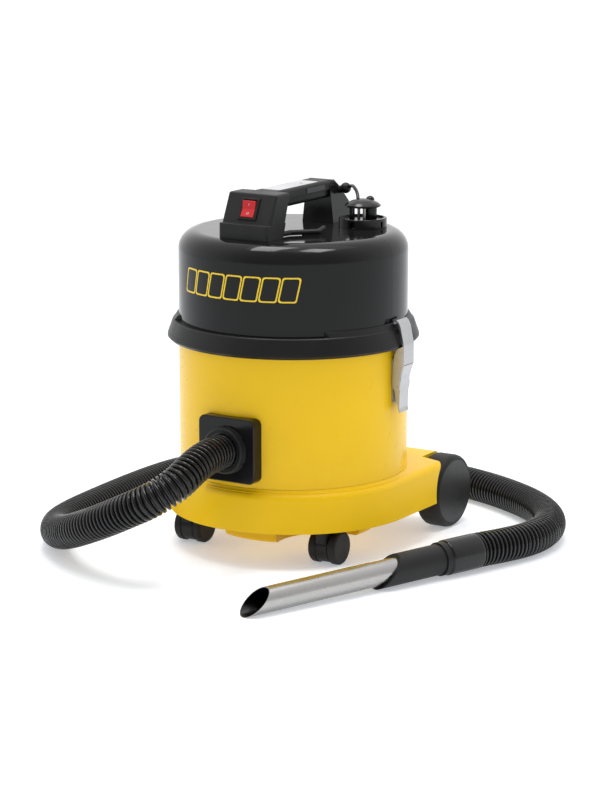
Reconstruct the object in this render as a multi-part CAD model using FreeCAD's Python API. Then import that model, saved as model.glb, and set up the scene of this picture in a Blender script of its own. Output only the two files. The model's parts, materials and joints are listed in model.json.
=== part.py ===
"""Drum-type dry vacuum cleaner on a wheeled dolly, with its hose and steel tube on the floor.

Millimetres, +Z up. The drum's axis is vertical and the machine's front, where the hose
plugs in, faces -Y. Every piece is drawn in the drum's frame (drum axis at x = y = 0,
floor at z = 0) and moved by AXIS_Y when it is saved, which puts the origin on the floor
under the middle of the machine's length.
"""
import FreeCAD, Part
import math
import os
from FreeCAD import Vector

# ---- driving dimensions -------------------------------------------------------------
DRUM_RADIUS = 150.0         # outside of the drum and of the dome above it
DRUM_WALL = 3.0
DRUM_BOTTOM = 90.0          # the drum stands in a recess of the dolly
DECK_TOP = 99.0             # top of the dolly, around the drum
DRUM_RIM = 288.0            # top edge of the drum, inside the head's ring
RING_BOTTOM = 274.0
RING_RADIUS = 165.0         # widest part of the head's ring
RING_TOP = 300.0            # ledge that the dome stands on
DOME_TOP = 417.0
DOME_EDGE = 25.0            # rounding between the dome's side and its flat top

SKIRT_BOTTOM = 48.0         # lower edge of the dolly
SKIRT_RADIUS = 164.0        # at the lower edge
DECK_RADIUS = 159.0         # at the upper edge
DECK_REAR = 180.0           # the dolly's rear edge, between the wheels
PAN_BOTTOM = 22.0           # lowest point of the pan under the dolly
PAN_RADIUS = 112.0
PAN_SCALLOP = 68.0          # room for each castor to swivel

WHEEL_RADIUS = 49.5         # rear wheels
WHEEL_WIDTH = 34.0
WHEEL_FACE = 155.0          # outer face of a rear wheel, from the middle plane
AXLE_Y = 163.0
AXLE_RADIUS = 5.0
ARCH_RADIUS = 57.0          # clearance cut round a rear wheel, at its inner wall
ARCH_FLARE = 0.2            # how much wider it gets for each millimetre outwards
ARCH_INNER = 119.5          # its inner wall, from the middle plane

CASTOR_X = 104.0            # swivel axes of the front castors
CASTOR_Y = -94.0
CASTOR_TRAIL = 14.0         # the castor's axle lies this far behind its swivel axis
CASTOR_WHEEL_RADIUS = 22.0
CASTOR_WHEEL_INNER = 9.0    # each castor has two wheels, this far from its middle
CASTOR_WHEEL_OUTER = 20.0
CASTOR_STEM_RADIUS = 5.5

INLET_Z = 153.0             # height of the hose socket
INLET_FACE = 162.0          # front face of the socket's plate
INLET_SIZE = 84.0
HOSE_RADIUS = 22.5
HOSE_START_Y = -172.0
HOSE_END_RADIUS = 24.2      # plain tail of the hose, inside the socket

GRIP_TOP = 474.0            # top of the handle and of the switch box
GRIP_BOTTOM = 450.0
GRIP_HALF_WIDTH = 18.0
SCREW_X, SCREW_Y = 2.0, 15.5    # the screw that shows in the grip's inlay
BOX_HALF_WIDTH = 36.6
BOX_FRONT = -121.5          # foot of the switch box
BOX_LEDGE = -113.5          # its front leans back from here ...
BOX_LEDGE_Z = 437.0
BOX_CREST = -96.6           # ... to here, at the handle's top
BOX_REAR = -83.0            # its rear leans the other way, from the dome ...
BOX_REAR_CREST = -64.5      # ... to the handle's top
ROCKER_Z = 454.8            # middle of the rocker on the leaning front
ROCKER_TILT = 6.5           # degrees from the middle to either state of the switch
TOWER_FRONT = 61.0          # front face of the handle's rear post
TOWER_HALF_WIDTH = 18.3     # at its top; it spreads towards its foot
TOWER_HALF_FOOT = 24.0

LATCH_Y = 8.0               # middle of each side latch
LATCH_PIVOT = (161.0, 246.0)    # (x, z) of the lever's rivets
STRAP_PIVOT = (159.0, 223.5)    # (x, z) of the pin between lever and strap

TUBE_RADIUS = 16.0          # steel tube
TUBE_NECK_RADIUS = 15.6     # its end held in the adapter is drawn in a little
TUBE_NECK_END = 180.0
TUBE_WALL = 1.2
CUFF_RADIUS = 22.8
ADAPTER_RADIUS = 19.8

RUN_CLEARANCE = 0.05        # radial clearance of every turning fit

# Ends of the straight cuff, adapter and steel tube: at the hose, and at the open tip.
TOOL_START = Vector(282.0, 4.4, 24.2)
TOOL_TIP = Vector(149.7, -327.7, 16.5)
CUFF_END = 64.0             # distances along that axis
ADAPTER_END = 157.0
TUBE_INSIDE = 105.0

# The hose's route, from the socket round behind the machine to the cuff.
HOSE_ROUTE = [
    (0, -172, 153), (0, -206, 153), (1, -240, 145), (-2, -271, 130), (-24, -292, 112),
    (-58, -294, 95), (-93, -289, 78), (-129, -280, 62), (-165, -265, 47), (-200, -243, 34),
    (-233, -214, 25), (-258, -176, 22.7), (-269, -129, 22.7), (-275, -78, 22.7),
    (-280, -26, 22.7), (-284, 28, 22.7), (-286, 84, 22.7), (-283, 140, 22.7),
    (-268, 193, 22.7), (-234, 241, 22.7), (-184, 280, 22.7), (-124, 305, 22.7),
    (-61, 319, 22.7), (5, 323, 22.7), (67, 317, 22.7), (125, 301, 22.7), (179, 277, 22.7),
    (230, 246, 22.7), (273, 206, 22.7), (302, 158, 22.7), (311, 105, 22.7),
    (301.3, 52.7, 23.0), (282, 4.4, 24.2),
]
# The lead, from the gland on the rear post to the top of the parked plug.
LEAD_RADIUS = 2.25
LEAD_ROUTE = [
    (30.0, 85.8, 462.8), (36.1, 84.0, 465.2), (42.9, 79.0, 466.2), (48.1, 74.0, 465.0),
    (54.7, 68.0, 462.2), (60.3, 62.0, 458.0), (63.6, 57.4, 453.2), (64.6, 56.6, 450.0),
]
PARK_X, PARK_Y = 69.9, 59.2     # the plug's park on the dome, beside the rear post
PARK_TURN = 32.0                # degrees it is turned towards the right front
PARK_RADIUS = 31.5
PARK_HEIGHT = 12.5
PLUG_RADIUS = 23.6
PLUG_BOTTOM = 443.5             # underside of the plug's cap
PIN_PLACES = ((1.4, -12.0), (-5.0, 8.0))

# The origin lies midway between the hose socket's ring and the rear wheels' tread.
LENGTH_FRONT = -HOSE_START_Y
LENGTH_REAR = AXLE_Y + WHEEL_RADIUS
AXIS_Y = -(LENGTH_REAR - LENGTH_FRONT) / 2.0

UP = Vector(0, 0, 1)
RIGHT = Vector(1, 0, 0)
BACK = Vector(0, 1, 0)


# ---- helpers ------------------------------------------------------------------------
def save(name, shape):
    """Write one piece, moved from the drum's frame to the machine's frame."""
    moved = shape.copy()
    moved.translate(Vector(0, AXIS_Y, 0))
    moved.exportStep(os.path.join("parts", name + ".step"))


def cylinder(radius, z0, z1, x=0.0, y=0.0):
    return Part.makeCylinder(radius, z1 - z0, Vector(x, y, z0), UP)


def rod(radius, start, end):
    axis = end - start
    return Part.makeCylinder(radius, axis.Length, start, axis)


def ring(outer, inner, z0, z1, x=0.0, y=0.0):
    return cylinder(outer, z0, z1, x, y).cut(cylinder(inner, z0 - 1, z1 + 1, x, y))


def box(x0, x1, y0, y1, z0, z1):
    return Part.makeBox(x1 - x0, y1 - y0, z1 - z0, Vector(x0, y0, z0))


def prism(points, direction):
    """A flat polygon pushed along a direction."""
    corners = [Vector(*point) for point in points]
    return Part.Face(Part.makePolygon(corners + corners[:1])).extrude(direction)


def turned(profile, start=Vector(0, 0, 0), axis=UP, angle=360.0):
    """A solid of revolution: profile is (radius, height) pairs along the axis."""
    corners = [Vector(radius, 0, height) for radius, height in profile]
    face = Part.Face(Part.makePolygon(corners + corners[:1]))
    solid = face.revolve(Vector(0, 0, 0), UP, angle)
    solid.Placement = FreeCAD.Placement(start, FreeCAD.Rotation(UP, axis))
    return solid


def soften(shape, radius, wanted):
    """Round the edges for which wanted(edge) is true."""
    edges = [edge for edge in shape.Edges if wanted(edge)]
    return shape.makeFillet(radius, edges)


def runs_along(edge, direction):
    if not isinstance(edge.Curve, Part.Line):
        return False
    return abs(edge.tangentAt(edge.FirstParameter).dot(direction)) > 0.999


def middle(edge):
    return edge.valueAt((edge.FirstParameter + edge.LastParameter) / 2.0)


def group(shapes):
    return Part.makeCompound(shapes)


def mirrored(shape):
    """The same piece on the machine's other side."""
    return shape.mirror(Vector(0, 0, 0), RIGHT)


def save_pair(name, right_piece):
    save(name + "_right", right_piece)
    save(name + "_left", mirrored(right_piece))


def rounded_path(points, label):
    """Straight runs joined by tangent arcs, each as large as its two runs allow."""
    corners = [Vector(*point) for point in points]
    edges = []
    radii = []
    position = corners[0]
    for before, corner, after in zip(corners, corners[1:], corners[2:]):
        back = (before - corner).normalize()
        ahead = (after - corner).normalize()
        half_turn = (math.pi - back.getAngle(ahead)) / 2.0
        shorter = min((corner - before).Length, (after - corner).Length)
        reach = 0.45 * shorter
        radius = reach / math.tan(half_turn)
        radii.append(radius)
        start = corner + back * reach
        end = corner + ahead * reach
        bisector = (back + ahead).normalize()
        mid = corner + bisector * (radius / math.cos(half_turn) - radius)
        edges.append(Part.LineSegment(position, start).toShape())
        edges.append(Part.Arc(start, mid, end).toShape())
        position = end
    edges.append(Part.LineSegment(position, corners[-1]).toShape())
    print(label, "bend radii:", " ".join("%.0f" % radius for radius in radii))
    return Part.Wire(edges)


def flexible_tube(points, radius, label):
    """A round tube along a rounded path, checked by its volume."""
    path = rounded_path(points, label)
    start = path.Edges[0]
    profile = Part.makeCircle(radius, start.valueAt(start.FirstParameter),
                              start.tangentAt(start.FirstParameter))
    solid = path.makePipeShell([Part.Wire(profile)], True, False)
    expected = math.pi * radius ** 2 * path.Length
    print(label, "length %.0f mm, volume ratio %.4f" % (path.Length, solid.Volume / expected))
    return solid


# ---- dolly --------------------------------------------------------------------------
def dolly_outline(front_radius, rear, corner, z):
    """Half round in front, straight sides, rounded rear corners."""
    r = front_radius
    nick = corner * (1 - math.sqrt(0.5))
    return Part.Wire([
        Part.Arc(Vector(-r, 0, z), Vector(0, -r, z), Vector(r, 0, z)).toShape(),
        Part.LineSegment(Vector(r, 0, z), Vector(r, rear - corner, z)).toShape(),
        Part.Arc(Vector(r, rear - corner, z), Vector(r - nick, rear - nick, z),
                 Vector(r - corner, rear, z)).toShape(),
        Part.LineSegment(Vector(r - corner, rear, z), Vector(corner - r, rear, z)).toShape(),
        Part.Arc(Vector(corner - r, rear, z), Vector(nick - r, rear - nick, z),
                 Vector(-r, rear - corner, z)).toShape(),
        Part.LineSegment(Vector(-r, rear - corner, z), Vector(-r, 0, z)).toShape(),
    ])


def wheel_space(radius, inner, outer):
    """A space round the rear axle on both sides of the machine, flaring outwards."""
    flared = radius + ARCH_FLARE * (outer - inner)
    right = Part.makeCone(radius, flared, outer - inner,
                          Vector(inner, AXLE_Y, WHEEL_RADIUS), RIGHT)
    return right.fuse(mirrored(right))


def dolly_base():
    wall = 4.0
    ceiling = DRUM_BOTTOM - 5.0
    shell = Part.makeLoft([dolly_outline(SKIRT_RADIUS, DECK_REAR + 3, 30, SKIRT_BOTTOM),
                           dolly_outline(DECK_RADIUS, DECK_REAR, 30, DECK_TOP)], True, True)
    shell = soften(shell, 9.0, lambda edge: middle(edge).z > DECK_TOP - 0.1)
    shell = shell.cut(wheel_space(ARCH_RADIUS, ARCH_INNER, 200.0))
    hollow = Part.makeLoft(
        [dolly_outline(SKIRT_RADIUS - wall, DECK_REAR + 3 - wall, 27, SKIRT_BOTTOM - 0.2),
         dolly_outline(DECK_RADIUS - wall, DECK_REAR - wall, 27, ceiling)], True, True)
    hollow = hollow.cut(wheel_space(ARCH_RADIUS + wall, ARCH_INNER - wall, 201.0))
    body = shell.cut(hollow)
    body = body.cut(cylinder(DRUM_RADIUS + 0.3, DRUM_BOTTOM, DECK_TOP + 5))
    for side in (-1, 1):
        boss = cylinder(15.0, 52.0, ceiling + 1, side * CASTOR_X, CASTOR_Y)
        socket = cylinder(CASTOR_STEM_RADIUS + 1.5, 51.0, 83.0, side * CASTOR_X, CASTOR_Y)
        bearer = box(-9, 9, AXLE_Y - 16, AXLE_Y + 14, WHEEL_RADIUS - 11, ceiling + 1)
        bearer.translate(Vector(side * 104.0, 0, 0))
        body = body.fuse(boss).cut(socket).fuse(bearer)
    axle_hole = Part.makeCylinder(AXLE_RADIUS, 260, Vector(-130, AXLE_Y, WHEEL_RADIUS), RIGHT)
    return body.cut(axle_hole).removeSplitter()


def under_pan():
    """Shallow pan under the dolly, scalloped so that the castors can swivel."""
    wall = 3.5
    top = DRUM_BOTTOM - 5.0
    pan = soften(cylinder(PAN_RADIUS, PAN_BOTTOM, top), 6.0,
                 lambda edge: middle(edge).z < PAN_BOTTOM + 0.1)
    hollow = cylinder(PAN_RADIUS - wall, PAN_BOTTOM + wall, top + 1)
    for side in (-1, 1):
        scallop = cylinder(PAN_SCALLOP, 0, top + 1, side * CASTOR_X, CASTOR_Y + 10)
        inner_scallop = cylinder(PAN_SCALLOP + wall, 0, top + 2, side * CASTOR_X, CASTOR_Y + 10)
        pan = pan.cut(scallop)
        hollow = hollow.cut(inner_scallop)
    pan = pan.cut(hollow)
    return pan.common(cylinder(PAN_RADIUS + 1, 0, top - 0.1))


def rear_axle():
    length = WHEEL_FACE - 6.0
    return rod(AXLE_RADIUS, Vector(-length, AXLE_Y, WHEEL_RADIUS),
               Vector(length, AXLE_Y, WHEEL_RADIUS))


def axle_clips():
    clip = turned([(AXLE_RADIUS, 0), (9.0, 0), (9.0, 1.2), (AXLE_RADIUS, 1.2)],
                  Vector(WHEEL_FACE - 8.4, AXLE_Y, WHEEL_RADIUS), RIGHT)
    return group([clip, mirrored(clip)])


def rear_wheel():
    """Wheel with a pocket for the retaining clip; heights run along the axle."""
    bore = AXLE_RADIUS + RUN_CLEARANCE
    r = WHEEL_RADIUS
    profile = [(bore, 0), (14.0, 0), (14.0, 6.0), (38.0, 9.0), (38.0, 1.0), (r - 4.5, 0),
               (r - 2.0, 1.2), (r - 0.6, 3.4), (r, 6.5), (r, 26.5), (r - 0.6, 29.6),
               (r - 2.0, 32.0), (r - 4.0, 33.5), (43.7, 34.0), (43.7, 31.0), (38.0, 31.0), (38.0, 13.0), (14.0, 16.0),
               (14.0, 25.0), (bore, 25.0)]
    return turned(profile, Vector(WHEEL_FACE - WHEEL_WIDTH, AXLE_Y, WHEEL_RADIUS), RIGHT)


def wheel_cap():
    cap = turned([(0, 31.0), (43.5, 31.0), (43.5, 33.4), (42.9, 34.0), (0, 34.0)],
                 Vector(WHEEL_FACE - WHEEL_WIDTH, AXLE_Y, WHEEL_RADIUS), RIGHT)
    spigot = turned([(31.0, 20.0), (33.0, 20.0), (33.0, 31.0), (31.0, 31.0)],
                    Vector(WHEEL_FACE - WHEEL_WIDTH, AXLE_Y, WHEEL_RADIUS), RIGHT)
    return cap.fuse(spigot)


# ---- castors ------------------------------------------------------------------------
def castor_fork():
    """Swivel body: stem, round top plate, hood between the wheels and a pressed-in axle."""
    axle_y = CASTOR_Y + CASTOR_TRAIL
    z = CASTOR_WHEEL_RADIUS
    stem = cylinder(CASTOR_STEM_RADIUS, 46.0, 80.0, CASTOR_X, CASTOR_Y)
    plate = soften(cylinder(13.0, 45.5, 51.0, CASTOR_X, CASTOR_Y), 1.5,
                   lambda edge: middle(edge).z > 50.9)
    half = CASTOR_WHEEL_INNER - 0.5
    hood = Part.makeCylinder(20.8, 2 * half, Vector(CASTOR_X - half, axle_y, z), RIGHT)
    hood = hood.cut(Part.makeCylinder(15.5, 2 * half - 5,
                                      Vector(CASTOR_X - half + 2.5, axle_y, z), RIGHT)
                    .common(box(0, 200, axle_y - 30, axle_y + 30, 0, z + 2)))
    hood = hood.cut(box(0, 200, axle_y - 30, axle_y + 30, 0, 4.0))
    neck = box(CASTOR_X - half, CASTOR_X + half, CASTOR_Y - 9, axle_y + 6, z + 8, 47.0)
    neck = soften(neck, 5.0, lambda edge: runs_along(edge, UP))
    body = plate.fuse(stem).fuse(neck).fuse(hood)
    end = CASTOR_WHEEL_OUTER - 3.0
    axle = Part.makeCylinder(3.0, 2 * end, Vector(CASTOR_X - end, axle_y, z), RIGHT)
    return body.fuse(axle).removeSplitter()


def castor_wheels():
    """Two dished wheels, closed on their outer faces."""
    r = CASTOR_WHEEL_RADIUS
    bore = 3.0 + RUN_CLEARANCE
    a = CASTOR_WHEEL_INNER
    b = CASTOR_WHEEL_OUTER
    profile = [(bore, a), (6.0, a), (6.0, a + 5), (17.5, a + 5), (17.5, a), (r - 1.5, a),
               (r, a + 1.5), (r, b - 2.5), (r - 1.2, b - 0.8), (r - 3.5, b), (0, b),
               (0, b - 2.7), (bore, b - 2.7)]
    place = Vector(CASTOR_X, CASTOR_Y + CASTOR_TRAIL, r)
    wheels = [turned(profile, place, RIGHT), turned(profile, place, RIGHT * -1)]
    return group(wheels)


def castor_sleeves():
    """Bushes pressed into the dolly, in which the castors' stems turn."""
    bore = CASTOR_STEM_RADIUS + RUN_CLEARANCE
    sleeve = ring(CASTOR_STEM_RADIUS + 1.5, bore, 52.0, 82.0, CASTOR_X, CASTOR_Y)
    return group([sleeve, mirrored(sleeve)])


# ---- drum and hose socket -------------------------------------------------------------
def inlet_bore(radius, y0, y1):
    """A cylinder along the socket's axis, given distances in front of the drum's axis."""
    return Part.makeCylinder(radius, y1 - y0, Vector(0, -y1, INLET_Z), BACK)


def drum():
    r = DRUM_RADIUS
    inside = r - DRUM_WALL
    profile = [(0, DRUM_BOTTOM), (r - 8, DRUM_BOTTOM), (r - 2.3, DRUM_BOTTOM + 2.3),
               (r, DRUM_BOTTOM + 8), (r, DRUM_RIM - 9), (r + 3.5, DRUM_RIM - 7),
               (r + 3.5, DRUM_RIM - 1.5), (r + 2, DRUM_RIM), (inside + 0.5, DRUM_RIM),
               (inside, DRUM_RIM - 1), (inside, DRUM_BOTTOM + 9),
               (inside - 6, DRUM_BOTTOM + DRUM_WALL), (0, DRUM_BOTTOM + DRUM_WALL)]
    return turned(profile).cut(inlet_bore(29.0, 100, 200))


def inlet_plate():
    """Square plate whose back follows the drum."""
    half = INLET_SIZE / 2.0
    plate = box(-half, half, -INLET_FACE, -130, INLET_Z - half, INLET_Z + half)
    plate = soften(plate, 9.0, lambda edge: runs_along(edge, BACK))
    plate = soften(plate, 1.6, lambda edge: middle(edge).y < -INLET_FACE + 0.1)
    plate = plate.cut(cylinder(DRUM_RADIUS, 50, 300))
    return plate.cut(inlet_bore(26.0, 100, 200))


def inlet_screws():
    """Screws put in from inside the drum, so their heads don't show on the plate."""
    screws = []
    for x in (-33.0, 33.0):
        for z in (-33.0, 33.0):
            inner = Vector(x, -math.sqrt((DRUM_RADIUS - DRUM_WALL) ** 2 - x * x), INLET_Z + z)
            head = turned([(0, -1.5), (3.6, -1.5), (3.6, 0.4), (2.4, 2.0), (0, 2.2)], inner, BACK)
            shank = rod(1.8, inner, Vector(x, -INLET_FACE + 4.0, INLET_Z + z))
            screws.append(head.fuse(shank))
    return screws


def inlet_sleeve():
    """Socket through the drum's wall, with a flange inside."""
    pipe = inlet_bore(26.0, 120, INLET_FACE).cut(inlet_bore(24.3, 119, 200))
    flange = inlet_bore(34.0, 134, 137).cut(inlet_bore(25.9, 133, 200))
    return pipe.fuse(flange)


def inlet_seal():
    return inlet_bore(33.0, 137, 139.5).cut(inlet_bore(26.0, 136, 200))


def hose_collar():
    """Ribbed lock ring that turns on the socket and holds the hose's end."""
    face = INLET_FACE + 0.3
    bore = HOSE_END_RADIUS + RUN_CLEARANCE
    profile = [(bore, 0), (31.0, 0), (31.0, 1.8), (29.8, 2.2), (29.8, 3.0), (30.4, 3.4),
               (30.4, 4.8), (29.2, 5.2), (29.2, 6.2), (29.8, 6.6), (29.8, 8.0), (28.6, 9.2),
               (27.4, 9.7), (bore, 9.7)]
    body = turned(profile, Vector(0, -face, INLET_Z), BACK * -1)
    for angle in range(0, 360, 60):
        notch = inlet_bore(2.2, 150, 190)
        notch.translate(Vector(0, 0, 32.0))
        notch.rotate(Vector(0, 0, INLET_Z), BACK, angle)
        body = body.cut(notch)
    return body


def hose_end():
    """Plain tail of the hose, inside the socket."""
    return inlet_bore(HOSE_END_RADIUS, 126, -HOSE_START_Y).cut(inlet_bore(19.5, 120, 168))


# ---- head ---------------------------------------------------------------------------
def head_ring():
    """Skirt of the head, with a lip that rises along both sides and a notch per latch."""
    seat = 146.0
    r = DRUM_RADIUS
    profile = [(r + 4.2, RING_BOTTOM), (161.0, RING_BOTTOM), (RING_RADIUS, RING_BOTTOM + 4),
               (RING_RADIUS - 0.5, RING_BOTTOM + 7.5), (158.3, RING_TOP - 1.2),
               (156.8, RING_TOP), (seat, RING_TOP), (seat, DRUM_RIM + 3),
               (r + 4.2, DRUM_RIM + 3)]
    body = turned(profile)
    lip = turned([(r, RING_TOP - 1), (157.2, RING_TOP - 1), (153.0, RING_TOP + 6.0),
                  (r + 1.0, RING_TOP + 7.0), (r, RING_TOP + 7.0)])
    sides = box(-200, 200, -102.5, 118, RING_TOP - 2, RING_TOP + 10)
    body = body.fuse(lip.common(sides))
    notch = box(160.0, 180.0, LATCH_Y - 16.5, LATCH_Y + 16.5, RING_BOTTOM - 1, RING_TOP + 9)
    notch = notch.fuse(prism([(160.0, LATCH_Y - 16.5, RING_TOP - 1.5),
                              (180.0, LATCH_Y - 16.5, RING_TOP - 1.5),
                              (180.0, LATCH_Y - 16.5, RING_TOP + 12),
                              (152.5, LATCH_Y - 16.5, RING_TOP + 12),
                              (152.5, LATCH_Y - 16.5, RING_TOP + 4.5)], Vector(0, 33, 0)))
    return body.cut(notch).cut(mirrored(notch)).removeSplitter()


def drum_seal():
    return ring(151.0, 146.2, DRUM_RIM, DRUM_RIM + 3)


def head_dome():
    """Dome cover with a slotted exhaust low at the back."""
    r = DRUM_RADIUS
    outer = soften(cylinder(r, RING_TOP, DOME_TOP), DOME_EDGE,
                   lambda edge: middle(edge).z > DOME_TOP - 1)
    inner = soften(cylinder(r - 3, RING_TOP - 1, DOME_TOP - 3), DOME_EDGE - 3,
                   lambda edge: middle(edge).z > DOME_TOP - 4)
    dome = outer.cut(inner)
    for index in range(-6, 7):
        slot = box(-1.7, 1.7, r - 15, r + 15, 322, 360)
        slot = soften(slot, 1.6, lambda edge: runs_along(edge, BACK))
        slot.rotate(Vector(0, 0, 0), UP, index * 4.0)
        dome = dome.cut(slot)
    return dome.cut(cylinder(9.0, DOME_TOP - 10, DOME_TOP + 1, 0, -90))


def head_floor():
    """Plate that closes the head from below and carries the motor."""
    plate = cylinder(146.0, RING_TOP - 5, RING_TOP - 1).cut(cylinder(40.0, 280, 310))
    collar = ring(84.0, 80.0, RING_TOP - 11, RING_TOP - 4)
    return plate.fuse(collar)


def motor_gasket():
    return ring(70.0, 44.0, RING_TOP - 1, RING_TOP + 4)


def fan_case():
    z = RING_TOP + 4
    case = soften(cylinder(70.0, z, z + 40), 4.0, lambda edge: middle(edge).z > z + 39.9)
    case = case.cut(cylinder(67.0, z + 2, z + 38)).cut(cylinder(24.0, z - 1, z + 3))
    case = case.cut(cylinder(4.0 + RUN_CLEARANCE, z + 30, z + 41))
    for index in range(8):
        port = box(60, 75, -7, 7, z + 27, z + 34)
        port.rotate(Vector(0, 0, 0), UP, index * 45.0)
        case = case.cut(port)
    return case


def motor_housing():
    z = RING_TOP + 44
    body = soften(cylinder(46.0, z, z + 58), 6.0, lambda edge: middle(edge).z > z + 57.9)
    body = body.cut(cylinder(43.0, z - 1, z + 55))
    for index in range(10):
        vent = box(35, 50, -3, 3, z + 34, z + 48)
        vent.rotate(Vector(0, 0, 0), UP, index * 36.0)
        body = body.cut(vent)
    return body.cut(cylinder(4.0 + RUN_CLEARANCE, z + 50, z + 60))


def motor_rotor():
    z = RING_TOP + 4
    rotor = cylinder(4.0, z + 4, z + 97).fuse(cylinder(27.0, z + 50, z + 88))
    rotor = rotor.fuse(cylinder(18.0, z + 44, z + 50))
    fan = ring(62.0, 3.9, z + 20, z + 22).fuse(ring(62.0, 22.0, z + 8, z + 9.5))
    for index in range(9):
        blade = box(20, 61, -0.8, 0.8, z + 9, z + 20.5)
        blade.rotate(Vector(20, 0, 0), UP, 35)
        blade.rotate(Vector(0, 0, 0), UP, index * 40.0)
        fan = fan.fuse(blade.common(cylinder(62.0, z, z + 30)))
    return rotor.fuse(fan)


def exhaust_foam():
    return ring(96.0, 74.0, RING_TOP, RING_TOP + 44)


def filter_cage():
    """Open frame under the head that keeps the filter round."""
    top = RING_TOP - 5.2
    cage = ring(76.0, 66.5, top - 5, top).fuse(cylinder(60.0, 226, 229))
    for index in range(8):
        bar = box(55, 61, -2, 2, 228, top - 3)
        bar = bar.fuse(box(55, 70, -2, 2, top - 5, top))
        bar.rotate(Vector(0, 0, 0), UP, index * 45.0 + 22.5)
        cage = cage.fuse(bar)
    return cage


def filter_sleeve():
    """Cloth filter drawn over the cage."""
    return ring(64.5, 61.5, 226, 288).fuse(cylinder(64.5, 222.5, 225.5)).fuse(
        ring(64.5, 60.5, 225, 227))


def bag_collar():
    return inlet_bore(32.0, 128, 131).cut(inlet_bore(26.3, 120, 140))


def dust_bag():
    """Paper bag lying on the drum's bottom, its mouth at the socket."""
    z = DRUM_BOTTOM + DRUM_WALL + 0.5
    bag = turned([(0, z), (88, z), (101, z + 10), (106, z + 34), (100, z + 62), (80, z + 80),
                  (40, z + 89), (0, z + 91)])
    return bag


# ---- handle, switch and lead park -----------------------------------------------------
def switch_box_block():
    """The switch box before it is hollowed: a foot, a ledge and a leaning front."""
    half = BOX_HALF_WIDTH
    rear_slope = (BOX_REAR_CREST - BOX_REAR) / (GRIP_TOP - DOME_TOP)
    rear_at_ledge = BOX_REAR + rear_slope * (BOX_LEDGE_Z - DOME_TOP)
    foot = prism([(-half, BOX_FRONT, DOME_TOP), (-half, BOX_FRONT, BOX_LEDGE_Z),
                  (-half, rear_at_ledge, BOX_LEDGE_Z), (-half, BOX_REAR, DOME_TOP)],
                 Vector(2 * half, 0, 0))
    foot = soften(foot, 4.0, lambda edge: runs_along(edge, UP))
    foot = soften(foot, 1.2, lambda edge: middle(edge).z > BOX_LEDGE_Z - 0.1)
    low = BOX_LEDGE_Z - 2.0
    front_slope = (BOX_CREST - BOX_LEDGE) / (GRIP_TOP - BOX_LEDGE_Z)
    body = prism([(-half, BOX_LEDGE - 2.0 * front_slope, low), (-half, BOX_CREST, GRIP_TOP),
                  (-half, BOX_REAR_CREST, GRIP_TOP),
                  (-half, rear_at_ledge - 2.0 * rear_slope, low)], Vector(2 * half, 0, 0))
    body = soften(body, 3.0, lambda edge: middle(edge).z > BOX_LEDGE_Z + 1)
    return foot.fuse(body)


def switch_box():
    """Hollow switch box with a window for the rocker's bezel."""
    half = BOX_HALF_WIDTH - 4.0
    hollow = prism([(-half, BOX_FRONT + 5, DOME_TOP - 1), (-half, BOX_LEDGE + 5.5, BOX_LEDGE_Z),
                    (-half, BOX_CREST + 0.5, GRIP_TOP - 12),
                    (-half, BOX_REAR_CREST - 8, GRIP_TOP - 12),
                    (-half, BOX_REAR - 4.5, DOME_TOP - 1)], Vector(2 * half, 0, 0))
    window = lean(box(-12.8, 12.8, -8, 8, -13.4, 13.4))
    return switch_box_block().cut(hollow).cut(window).removeSplitter()


def lean(shape):
    """Move a piece drawn about the origin, facing -Y, onto the box's leaning front."""
    rise = GRIP_TOP - BOX_LEDGE_Z
    back = BOX_CREST - BOX_LEDGE
    moved = shape.copy()
    moved.rotate(Vector(0, 0, 0), RIGHT, -math.degrees(math.atan2(back, rise)))
    moved.translate(Vector(0, BOX_LEDGE + back * (ROCKER_Z - BOX_LEDGE_Z) / rise, ROCKER_Z))
    return moved


def switch_bezel():
    frame = box(-13.9, 13.9, -1.9, -0.05, -14.7, 14.7)
    frame = soften(frame, 1.2, lambda edge: middle(edge).y < -1.8)
    frame = frame.fuse(box(-12.7, 12.7, -1, 7.5, -13.3, 13.3))
    return lean(frame.cut(box(-9.9, 9.9, -5, 9, -11.9, 11.9)))


def switch_rocker():
    """Rocker with a shallow V face, lying in the state in which its top stands out."""
    half = 9.4
    rocker = prism([(-half, -1.6, 0.0), (-half, -3.6, 10.8), (-half, 1.5, 10.2),
                    (-half, 5.0, 4.0), (-half, 5.0, -4.0), (-half, 1.5, -10.2),
                    (-half, -3.6, -10.8)], Vector(2 * half, 0, 0))
    rocker = soften(rocker, 0.8, lambda edge: runs_along(edge, RIGHT) and middle(edge).y < -2)
    rocker.rotate(Vector(0, 2, 0), RIGHT, ROCKER_TILT)
    barrel = Part.makeCylinder(4.2, 2 * half, Vector(-half, 2, 0), RIGHT)
    barrel = barrel.common(box(-half, half, 0, 9, -5, 5))
    return lean(rocker.fuse(barrel))


def grip_upper():
    """Upper shell of the carrying handle, with a shallow bed for the inlay."""
    w = GRIP_HALF_WIDTH
    shell = box(-w, w, BOX_REAR, TOWER_FRONT, GRIP_TOP - 12, GRIP_TOP)
    shell = soften(shell, 4.0, lambda edge: runs_along(edge, BACK) and middle(edge).z > GRIP_TOP - 1)
    bed = box(-w + 3.8, w - 3.8, -57, 40, GRIP_TOP - 0.8, GRIP_TOP + 1)
    pad = grip_pad()
    return shell.cut(bed).cut(pad).cut(mirrored(pad)).cut(switch_box_block())


def grip_lower():
    """Lower shell, set in a little from the upper one."""
    w = GRIP_HALF_WIDTH - 2.5
    shell = box(-w, w, BOX_REAR, TOWER_FRONT, GRIP_BOTTOM, GRIP_TOP - 12)
    shell = soften(shell, 6.0, lambda edge: runs_along(edge, BACK) and middle(edge).z < GRIP_BOTTOM + 1)
    return shell.cut(switch_box_block())


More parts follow.
